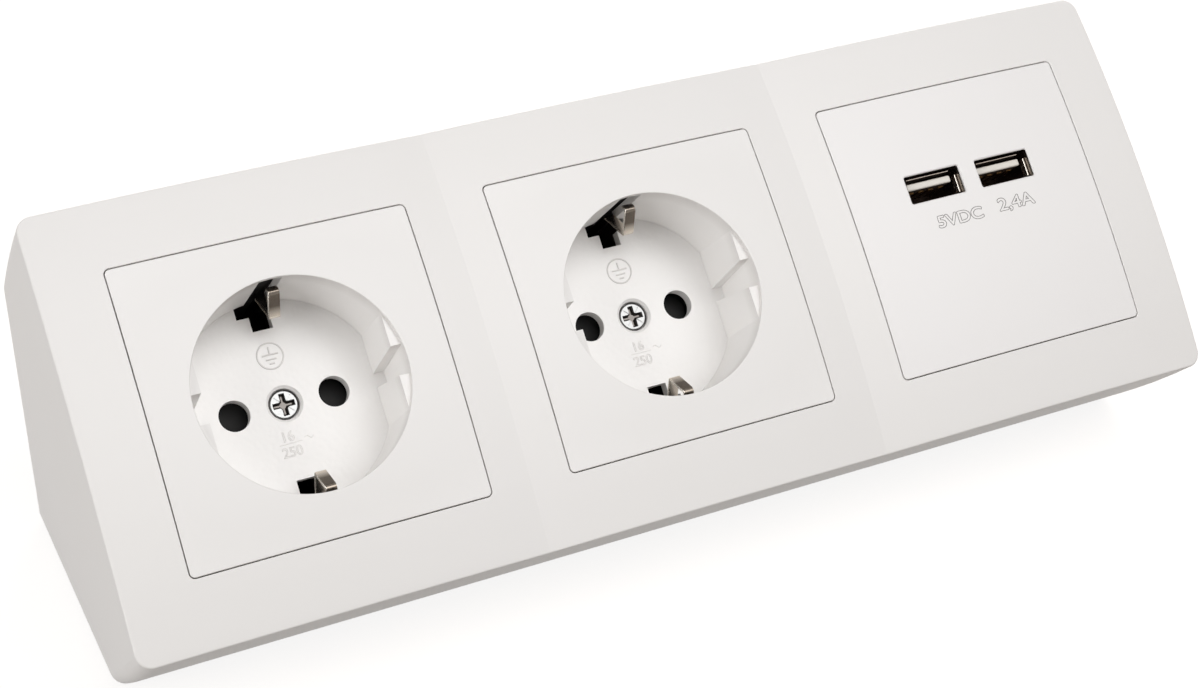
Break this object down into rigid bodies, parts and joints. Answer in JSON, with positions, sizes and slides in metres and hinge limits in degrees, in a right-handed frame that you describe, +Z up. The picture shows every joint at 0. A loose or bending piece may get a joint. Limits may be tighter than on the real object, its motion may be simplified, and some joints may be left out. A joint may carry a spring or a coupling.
{
  "type": "corner socket block",
  "caption": "Corner socket block with a slanted three-gang front: round earthed sockets with turning shutters and a twin charger plate, on a rear base with screw slots.",
  "frame": {"origin": "middle of the flat underside that stands on the worktop", "axes": "+X along the block to the charger end, +Y towards the wall, +Z up; the front leans back at 45 degrees and faces -Y and +Z"},
  "size_m": [0.222, 0.0819, 0.0818],
  "materials": {
    "white_abs": "fine matte moulded, warm white",
    "base_abs": "matte moulded, white",
    "grey_rubber": "soft matte grey",
    "zinc_steel": "bright zinc plated",
    "nickel_plate": "nickel plated strip",
    "spring_steel": "plain spring steel",
    "contact_brass": "plain rolled brass",
    "contact_gold": "gold flashed",
    "black_nylon": "matte black moulded",
    "grey_nylon": "matte grey moulded",
    "tongue_nylon": "satin natural white",
    "circuit_board": "green lacquered laminate"
  },
  "bodies": {
    "block": {"housing": "white_abs", "base": "base_abs", "cable_grommet": "grey_rubber", "housing_screws": "zinc_steel", "usb_cover": "white_abs", "usb_body": "black_nylon", "usb_board": "circuit_board", "usb_parts": "black_nylon", "terminal_block": "grey_nylon", "ring_screws": "zinc_steel", "support_ring_1": "zinc_steel", "support_ring_2": "zinc_steel", "support_ring_3": "zinc_steel", "socket_cover_1": "white_abs", "cover_screw_1": "zinc_steel", "insert_body_1": "grey_nylon", "line_contact_1": "contact_brass", "neutral_contact_1": "contact_brass", "earth_strap_1": "nickel_plate", "usb_shell_1": "nickel_plate", "usb_tongue_1": "tongue_nylon", "usb_contacts_1": "contact_gold", "socket_cover_2": "white_abs", "cover_screw_2": "zinc_steel", "insert_body_2": "grey_nylon", "line_contact_2": "contact_brass", "neutral_contact_2": "contact_brass", "earth_strap_2": "nickel_plate", "usb_shell_2": "nickel_plate", "usb_tongue_2": "tongue_nylon", "usb_contacts_2": "contact_gold"},
    "shutter_1": {"shutter_1": "black_nylon", "shutter_spring_1": "spring_steel"},
    "shutter_2": {"shutter_2": "black_nylon", "shutter_spring_2": "spring_steel"}
  },
  "joints": [
    {"name": "shutter_1_turn", "type": "hinge", "parent": "block", "child": "shutter_1", "pos_m": [-0.071, -0.01025, 0.03871], "axis": [0, -0.7071, 0.7071], "range_deg": [0, 42], "stiffness_Nm_per_rad": 0.0005, "springref_deg": -11.46},
    {"name": "shutter_2_turn", "type": "hinge", "parent": "block", "child": "shutter_2", "pos_m": [0, -0.01025, 0.03871], "axis": [0, -0.7071, 0.7071], "range_deg": [0, 42], "stiffness_Nm_per_rad": 0.0005, "springref_deg": -11.46}
  ]
}
